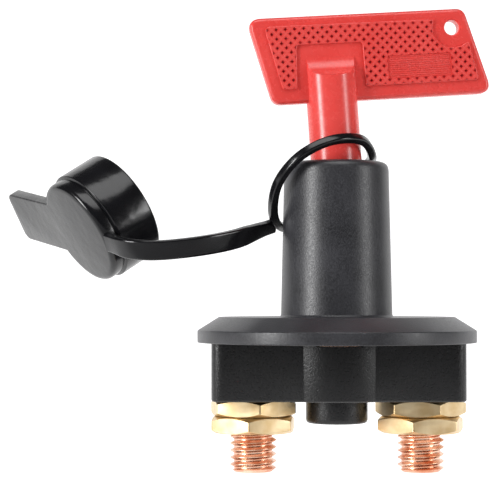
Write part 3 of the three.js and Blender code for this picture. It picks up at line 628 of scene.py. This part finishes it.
for word, side in (("left", -1), ("right", 1)):
    stud = piece(f"stud_{word}_threaded", threaded(STUD_LOW, NUTS_LOW + 0.6), copper)
    carve(stud, turned([(0, STUD_LOW), (STUD_R - 0.95, STUD_LOW), (STUD_R + 0.1, STUD_LOW + 0.9),
                        (STUD_R + 0.1, 0), (0, 0)], closed=False), "INTERSECT")
    carve(stud, rod(STUD_R, NUTS_LOW + 0.3, floor_top + 1), "UNION")
    head = slab([(5.8, 5.7, 1), (-8.5, 5.7, 1), (-8.5, -5.7, 1), (5.8, -5.7, 1)], floor_top, floor_top + 3)
    if side < 0:
        bmesh.ops.rotate(head, verts=head.verts, matrix=Matrix.Rotation(math.pi, 3, "Z"))
    carve(stud, head, "UNION")
    stud.data.transform(Matrix.Translation((side * 18 * MM, 0, 0)))
    settle(crisp(stud, 40), "housing", "copper", f"stud_{word}")

# %% [markdown]
# ## Nuts
#
# A thin hexagon nut, 17 mm across its flats, with the corners turned off at 30
# degrees. The corners come off where a hexagon and a turned cone meet, which
# gives the curved edges that real nuts have. The hole has a countersink on both
# faces.

# %% Nuts
FLATS, NUT_T = 17, 3.5
NUTS = {"left_inner": (-18, 0, 8.8), "left_outer": (-18, 1, -5.3),
        "right_inner": (18, 0, 19.7), "right_outer": (18, 1, -14.4)}
corner_r = FLATS / 2 / math.cos(math.radians(30))
for word, (x, place_down, turn) in NUTS.items():
    hexagon = rod(corner_r, -NUT_T / 2, NUT_T / 2, 6)
    uprights = [e for e in hexagon.edges if abs(e.verts[0].co.z - e.verts[1].co.z) > MM]
    bmesh.ops.bevel(hexagon, geom=uprights, offset=0.25 * MM, segments=3, profile=0.5, affect="EDGES",
                    material=-1)
    nut = piece(f"nut_{word}_brass", hexagon, brass)
    slope = (corner_r - FLATS / 2 + 0.25) * math.tan(math.radians(30))
    top = NUT_T / 2
    carve(nut, turned([(0, -top), (FLATS / 2 - 0.25, -top, 0.25), (corner_r + 0.1, slope - top),
                       (corner_r + 0.1, top - slope), (FLATS / 2 - 0.25, top, 0.25), (0, top)],
                      turns=144, closed=False), "INTERSECT")
    carve(nut, turned([(0, -3), (7, -3), (5.1, 0.55 - top), (5.1, top - 0.55), (7, 3), (0, 3)], closed=False))
    middle = base_low - top - place_down * (NUT_T + 0.1)
    nut.data.transform(Matrix.Translation((x * MM, 0, middle * MM))
                       @ Matrix.Rotation(math.radians(turn), 4, "Z"))
    settle(crisp(nut, 25), "housing", "brass", f"nut_{word}")

# %% [markdown]
# ## Key
#
# The key is a flat plate on a round shaft. It is built standing upright at the
# origin, as in its drawing, and set into the switch at the end with its lean and
# its turn. The plate is an outline pulled to its thickness, and a bevel rounds
# its rim.

# %% Key plate, shaft and ring hole
PLATE_T, HOLE_X, HOLE_Z, HOLE_R = 3.5, 27.3, 27.8, 1.6


def upright(bm):
    """Stands a slab up: its outline now lies in the plane of X and Z."""
    bmesh.ops.rotate(bm, verts=bm.verts, matrix=Matrix.Rotation(math.radians(90), 3, "X"))
    return bm


plate = slab([(-12.95, 13.1, 2.4), (35.4, 13.1, 2.4), (30.2, 31.9, 2.4), (-17.5, 31.9, 2.4)],
             -PLATE_T / 2, PLATE_T / 2, steps=8)
rims = [e for e in plate.edges if abs(e.verts[0].co.z - e.verts[1].co.z) < 1e-7]
bmesh.ops.bevel(plate, geom=rims, offset=0.9 * MM, segments=5, profile=0.5, affect="EDGES", material=-1)
key = piece("key_red", upright(plate), key_red, key_grip)

SHAFT_R, SCOOP_TOP, SCOOP_LOW, SCOOP_R = 5.5, 23.5, 18.4, 5
shaft = piece("key_shaft", rod(SHAFT_R, -8, SCOOP_TOP, 96), key_red)
for side in (-1, 1):
    # a round cutter across the shaft leaves a hollow that starts on the shaft and ends on the plate
    edge = Vector((side * SHAFT_R, SCOOP_LOW))
    run = Vector((side * PLATE_T / 2, SCOOP_TOP)) - edge
    out = Vector((side * run.y, -side * run.x)).normalized()
    centre = edge + run / 2 + out * math.sqrt(SCOOP_R ** 2 - run.length_squared / 4)
    cutter = rod(SCOOP_R, -7, 7, 128)
    bmesh.ops.rotate(cutter, verts=cutter.verts, matrix=Matrix.Rotation(math.radians(90), 3, "Y"))
    carve(shaft, moved_to(cutter, 0, centre.x, centre.y))
upper = bmesh.new()
upper.from_mesh(shaft.data)
bpy.data.objects.remove(shaft)
carve(key, upper, "UNION")
carve(key, bar((-4, -2, -13.7), (4, 2, -7)), "UNION")
# the hole for a key ring opens out towards both faces
flare = turned([(0, -4), (2.9, -4), (HOLE_R, -PLATE_T / 2 + 0.5, 0.4), (HOLE_R, PLATE_T / 2 - 0.5, 0.4),
                (2.9, 4), (0, 4)], turns=64, closed=False)
carve(key, moved_to(upright(flare), HOLE_X, 0, HOLE_Z))
print("key plate and shaft have", len(key.data.polygons), "faces")

# %% [markdown]
# A knurled grip panel stands half a millimetre proud on each face. Its outline
# follows the plate, leaves a bay for the shaft and curves round the key-ring
# hole. A pocket in it holds a block of fine grip ribs. The pits of the knurl are
# four-sided points, all cut in one go. A pit is left out where it would break
# through the edge of the panel or of the pocket. The panel's own face and its
# pits take the knurled finish, and everything else keeps the plain one.

# %% Outline and pits of a grip panel
PROUD, BAY_R = 0.45, 4.5
around_hole = []
for step in range(9):
    turn = math.radians(158 + (310 - 158) * step / 8)
    around_hole.append((HOLE_X + BAY_R * math.cos(turn), HOLE_Z + BAY_R * math.sin(turn)))
PANEL = [(-10.8, 16.1, 0.7), (-7.7, 16.1, 0.5), (-7.2, 25.6, 0.8), (7.2, 25.6, 0.8), (7.3, 16, 0.5),
         (32.4, 16, 0.8), (30.7, 24.4, 0.5), *reversed(around_hole), (23, 29.7, 0.5), (-14, 29.9, 1.1)]
POCKET = [(12.4, 17.3, 0.5), (26.5, 17.3, 0.5), (26.5, 22.3, 0.5), (12.4, 22.3, 0.5)]
PIT_MARGIN = 0.72


def room_at(place, line):
    """Distance from a place to a closed line, less than zero outside it."""
    within, nearest = False, math.inf
    for a, b in zip(line, line[1:] + line[:1]):
        crosses = (a.y > place.y) != (b.y > place.y)
        if crosses and place.x < a.x + (b.x - a.x) * (place.y - a.y) / (b.y - a.y):
            within = not within
        share = (place - a).dot(b - a) / max((b - a).length_squared, 1e-9)
        nearest = min(nearest, (a.lerp(b, min(max(share, 0), 1)) - place).length)
    return nearest if within else -nearest


PITS = []
for row in range(-1, 15):
    for column in range(-3, 26):
        place = Vector((FIRST_PIT.x + PITCH * (column + row % 2 / 2), FIRST_PIT.z - row * PITCH / 2))
        if (room_at(place, softened(PANEL, True)) > PIT_MARGIN
                and room_at(place, softened(POCKET, True)) < -PIT_MARGIN):
            PITS.append(place)
print("pits on each face:", len(PITS))

# %% Grip panels
RIBS, RIB_R, RIB_L, PIT_R, PIT_TIP_R, PIT_DEPTH, ABOVE = 11, 0.17, 13.2, 0.56, 0.07, 0.34, 0.05
POCKET_FLOOR, RIB_Z = PLATE_T / 2 + 0.25, PLATE_T / 2 + 0.2
for side in (-1, 1):
    panel = slab(PANEL, PLATE_T / 2 - 0.4, PLATE_T / 2 + PROUD)
    crest = [e for e in panel.edges if all(v.co.z > (PLATE_T / 2) * MM for v in e.verts)]
    bmesh.ops.bevel(panel, geom=crest, offset=0.18 * MM, segments=3, profile=0.5, affect="EDGES", material=-1)
    grip = piece("grip", panel, key_red, key_grip)
    carve(grip, slab(POCKET, POCKET_FLOOR, PLATE_T / 2 + 2))
    for face in grip.data.polygons:
        if face.normal.z > 0.99 and face.center.z > (PLATE_T / 2 + 0.3) * MM:
            face.material_index = 1
    points = bmesh.new()
    for place in PITS:
        made = bmesh.ops.create_cone(points, cap_ends=True, segments=4, radius1=PIT_TIP_R * MM,
                                     radius2=PIT_R * MM, depth=(PIT_DEPTH + ABOVE) * MM)["verts"]
        bmesh.ops.translate(points, verts=made, vec=(
            place.x * MM, place.y * MM, (PLATE_T / 2 + PROUD + (ABOVE - PIT_DEPTH) / 2) * MM))
    for face in points.faces:
        face.material_index = 1
    carve(grip, points)
    whole = bmesh.new()
    whole.from_mesh(grip.data)
    spacing = (POCKET[2][1] - POCKET[1][1]) / RIBS
    for rib in range(RIBS):
        middle = POCKET[0][1] + (rib + 0.5) * spacing
        made = bmesh.ops.create_cone(whole, cap_ends=True, segments=12, radius1=RIB_R * MM,
                                     radius2=RIB_R * MM, depth=RIB_L * MM)["verts"]
        bmesh.ops.rotate(whole, verts=made, matrix=Matrix.Rotation(math.radians(90), 3, "Y"))
        bmesh.ops.translate(whole, verts=made, vec=(19.45 * MM, middle * MM, RIB_Z * MM))
    upright(whole)
    if side > 0:
        # the far face carries the same panel in mirror image
        bmesh.ops.scale(whole, verts=whole.verts, vec=(1, -1, 1))
        bmesh.ops.reverse_faces(whole, faces=whole.faces)
    whole.to_mesh(grip.data)
    whole.free()
    joined = bmesh.new()
    joined.from_mesh(key.data)
    joined.from_mesh(grip.data)
    joined.to_mesh(key.data)
    joined.free()
    bpy.data.objects.remove(grip)
print("key with its panels has", len(key.data.polygons), "faces")

# %% Setting the key into the switch
key.data.transform(key_seat)
settle(crisp(key, 30), "key", "key_red", "key")

# %% [markdown]
# ## Tether ring and strap
#
# Ring and strap are soft, so their shape is a route: a smooth curve through a
# few points in space. The curve is the centripetal one, which passes through
# every point without loops or overshoot.

# %% Smooth routes
def route_through(points, closed=False, dense=24):
    """Many points along a centripetal curve through a few, in millimetres."""
    points = [Vector(p) for p in points]
    count = len(points)
    spans = count if closed else count - 1
    track = []
    for i in range(spans):
        p1, p2 = points[i], points[(i + 1) % count]
        p0 = points[i - 1] if closed or i else p1 * 2 - p2
        p3 = points[(i + 2) % count] if closed or i + 2 < count else p2 * 2 - p1
        d0, d1, d2 = (max((b - a).length, 1e-4) ** 0.5 for a, b in ((p0, p1), (p1, p2), (p2, p3)))
        leave = ((p1 - p0) / d0 - (p2 - p0) / (d0 + d1) + (p2 - p1) / d1) * d1
        arrive = ((p2 - p1) / d1 - (p3 - p1) / (d1 + d2) + (p3 - p2) / d2) * d1
        for k in range(dense):
            t = k / dense
            track.append(p1 * (2 * t ** 3 - 3 * t ** 2 + 1) + leave * (t ** 3 - 2 * t ** 2 + t)
                         + p2 * (3 * t ** 2 - 2 * t ** 3) + arrive * (t ** 3 - t ** 2))
    return track if closed else track + [points[-1]]


RING_POINTS = [(7.7, 1.4, 40.7), (4.8, -6.3, 43.2), (-2, -10.7, 42.5), (-8.3, -10.9, 39.2),
               (-12.8, -7.1, 33.7), (-13.6, -0.9, 27.3), (-11, 6.9, 25.1), (-4.8, 12.7, 27.9),
               (2.3, 13.7, 33.7), (7.2, 9.3, 38.9)]
ring_track = route_through(RING_POINTS, closed=True, dense=12)
ring_length = sum((b - a).length for a, b in zip(ring_track, ring_track[1:] + ring_track[:1]))
print("the ring is", round(ring_length, 1), "mm round its middle")

# %% [markdown]
# The ring starts as a small rounded square spun into a plain hoop, with one step
# for each point of its route. Every step of the hoop is then carried to its
# place on the route, with its inner face kept towards the middle of the loop.

# %% Tether ring
HOOP_R, HALF = 20, 0.9
steps = len(ring_track)
hoop = turned([(HOOP_R + x * HALF, y * HALF, 0.45) for x, y in ((1, 1), (-1, 1), (-1, -1), (1, -1))],
              turns=steps, steps=4)
centre = sum((Vector(p) for p in RING_POINTS), Vector()) / len(RING_POINTS)
for vert in hoop.verts:
    turn = math.atan2(vert.co.y, vert.co.x) / (2 * math.pi)
    i = round(turn * steps) % steps
    out, up = vert.co.to_2d().length / MM - HOOP_R, vert.co.z / MM
    along = (ring_track[(i + 1) % steps] - ring_track[i - 1]).normalized()
    away = ring_track[i] - centre
    away = (away - along * away.dot(along)).normalized()
    vert.co = (ring_track[i] + away * out + away.cross(along) * up) * MM
bmesh.ops.recalc_face_normals(hoop, faces=hoop.faces)
ring = piece("tether_hoop", hoop, soft_pvc)
settle(crisp(ring, 40), "tether_ring", "soft_black", "tether_ring")

# %% [markdown]
# The strap is a flat bar bent along its route from the cap to the ring. It is
# made in three lengths: by the cap, in the middle and by the ring. The lengths
# are fixed in place and ride on no body. The last length runs on past the end of
# the route, by seven hundredths of it, so that it enters the ring.

# %% Strap
STRAP_POINTS = [(-48.3, -5.4, 21.3), (-44.5, -9.5, 20), (-39, -11.6, 19.5), (-31, -10.5, 20.2),
                (-22.5, -5.5, 21.9), (-15.4, 1.6, 24.6)]
STRAP_W, STRAP_T = 4.2, 1.7
strap_track = route_through(STRAP_POINTS, dense=30)
lengths = [0]
for a, b in zip(strap_track, strap_track[1:]):
    lengths.append(lengths[-1] + (b - a).length)


def strap_at(share):
    """Middle, length, width and face directions of the strap at a share of its length."""
    i = next((k for k, length in enumerate(lengths) if length >= share * lengths[-1]), len(lengths) - 1)
    i = min(max(i, 1), len(lengths) - 1)
    part = (share * lengths[-1] - lengths[i - 1]) / (lengths[i] - lengths[i - 1])
    middle = strap_track[i - 1].lerp(strap_track[i], part)
    along = (strap_track[i] - strap_track[i - 1]).normalized()
    tilt = math.radians(27 - 19 * math.sin(math.pi * min(max(share, 0), 1)))
    level = Vector((along.y, -along.x, 0)).normalized()
    width = Vector((0, 0, math.cos(tilt))) + level * math.sin(tilt)
    width = (width - along * width.dot(along)).normalized()
    return middle, along, width, along.cross(width)


def strap_length(name, start, stop, steps=26):
    bm = slab([(x * STRAP_W / 2, y * STRAP_T / 2, 0.5) for x, y in ((1, 1), (-1, 1), (-1, -1), (1, -1))], 0, 1)
    rails = [e for e in bm.edges if abs(e.verts[0].co.z - e.verts[1].co.z) > 0.5 * MM]
    bmesh.ops.subdivide_edges(bm, edges=rails, cuts=steps)
    for vert in bm.verts:
        share = start + (stop - start) * vert.co.z / MM
        middle, along, width, face = strap_at(share)
        # the strap narrows into the ring
        width = width * (1 - 0.25 * min(max((share - 0.84) / 0.16, 0), 1))
        vert.co = (middle + width * (vert.co.x / MM) + face * (vert.co.y / MM)) * MM
    bmesh.ops.recalc_face_normals(bm, faces=bm.faces)
    return crisp(piece(name, bm, soft_pvc), 40)


STRAP = [("strap_by_the_cap", -0.02, 0.25, "strap_outer", "splash_cap", 0.22, 0.02, "strap_outer"),
         ("strap_middle", 0.25, 0.75, "strap_inner", "strap_outer", 0.61, 0.39, "strap_inner"),
         ("strap_by_the_ring", 0.75, 1.07, "tether_ring", "strap_inner", 0.98, 0.78, None)]
for name, start, stop, first, second, leaves, arrives, node in STRAP:
    strap = strap_length(name, start, stop)
    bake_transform(strap)
    if node:
        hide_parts(node)
    print(name, "bends between", first, "and", second)

# %% [markdown]
# ## Splash cap
#
# The cap is a short cup that pushes over the barrel when the key is out. Its
# closed end is a thick disc with a rounded rim, a groove runs behind it, and a
# flat tab sticks out for a finger. Cup and tab are joined and rounded where the
# finger goes. The cap lies on its side, so it is built upright and then tipped
# into place.

# %% Cap
CAP_PLACE, CAP_AIM, CAP_TIP = (-56.2, 4.1, 23.5), 29.7, 58.6
cap_seat = (Matrix.Translation(Vector(CAP_PLACE) * MM) @ Matrix.Rotation(math.radians(CAP_AIM), 4, "Z")
            @ Matrix.Rotation(math.radians(CAP_TIP), 4, "Y"))
cap = piece("splash_cap_soft", turned([
    (0, 0), (12, 0, 1.7), (12, 2.8, 0.15), (11.8, 2.95, 0.1), (11.8, 3.1, 0.1), (12.6, 3.4, 0.3),
    (12.6, 12.7, 0.5), (11.4, 12.7, 0.35), (11.4, 3, 0.8), (0, 3)], turns=128, closed=False, steps=5), soft_pvc)
tab = slab([(0, -6), (28.7, -6, 2.2), (28.7, 6, 2.2), (0, 6)], 0.02, 2.7, steps=8)
soft_edges = [e for e in tab.edges if abs(e.verts[0].co.z - e.verts[1].co.z) < 1e-7
              and max(v.co.x for v in e.verts) > MM]
bmesh.ops.bevel(tab, geom=soft_edges, offset=0.35 * MM, segments=3, profile=0.5, affect="EDGES", material=-1)
bmesh.ops.rotate(tab, verts=tab.verts, matrix=Matrix.Rotation(math.radians(101.7), 3, "Z"))
carve(cap, tab, "UNION")
cap.data.transform(cap_seat)
settle(crisp(cap, 35), "splash_cap", "soft_black", "splash_cap")

# %% [markdown]
# ## Return spring
#
# A coil of spring wire stands in the boss and pushes the contact carriage up. A
# small circle is spun six times round while it climbs. In the model the carriage
# presses it together, but this coil is even and rides on the housing, so it
# keeps its shape as the carriage goes down.

# %% Return spring
COIL_R, WIRE_R, COIL_TURNS = 4.3, 0.45, 6
coil_low, coil_high = BOSS_LOW + 1.5 + 0.1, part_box("return_spring")[1].z / MM
coil = bmesh.new()
wire = bmesh.ops.create_circle(coil, cap_ends=True, segments=10, radius=WIRE_R * MM)["verts"]
bmesh.ops.rotate(coil, verts=wire, matrix=Matrix.Rotation(math.radians(90), 3, "X"))
bmesh.ops.translate(coil, verts=wire, vec=(COIL_R * MM, 0, (coil_low + WIRE_R) * MM))
climb = (coil_high - coil_low - 2 * WIRE_R) * MM
bmesh.ops.spin(coil, geom=coil.verts[:] + coil.edges[:] + coil.faces[:], cent=(0, 0, 0), axis=(0, 0, 1),
               angle=2 * math.pi * COIL_TURNS, dvec=(0, 0, climb / (COIL_TURNS * 32)), steps=COIL_TURNS * 32)
bmesh.ops.recalc_face_normals(coil, faces=coil.faces)
spring = piece("return_coil", coil, steel)
settle(crisp(spring), "housing", "steel", "return_spring")
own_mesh(spring)

# %% [markdown]
# ## Pieces inside
#
# The contact carriage, the guide and the turning socket keep their CAD shapes,
# which are right as they are. They only need their finishes.

# %% Inner pieces
INSIDE = {"contact_carrier": natural_nylon, "stem_guide": natural_nylon, "key_socket": natural_nylon,
          "follower_pin": steel, "disc_washer": steel, "retaining_clip": steel, "contact_disc": copper,
          "socket_seal": rubber}
for node, finish in INSIDE.items():
    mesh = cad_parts[node].data
    mesh.materials.clear()
    mesh.materials.append(finish)
print("inner pieces finished:", sorted(INSIDE))
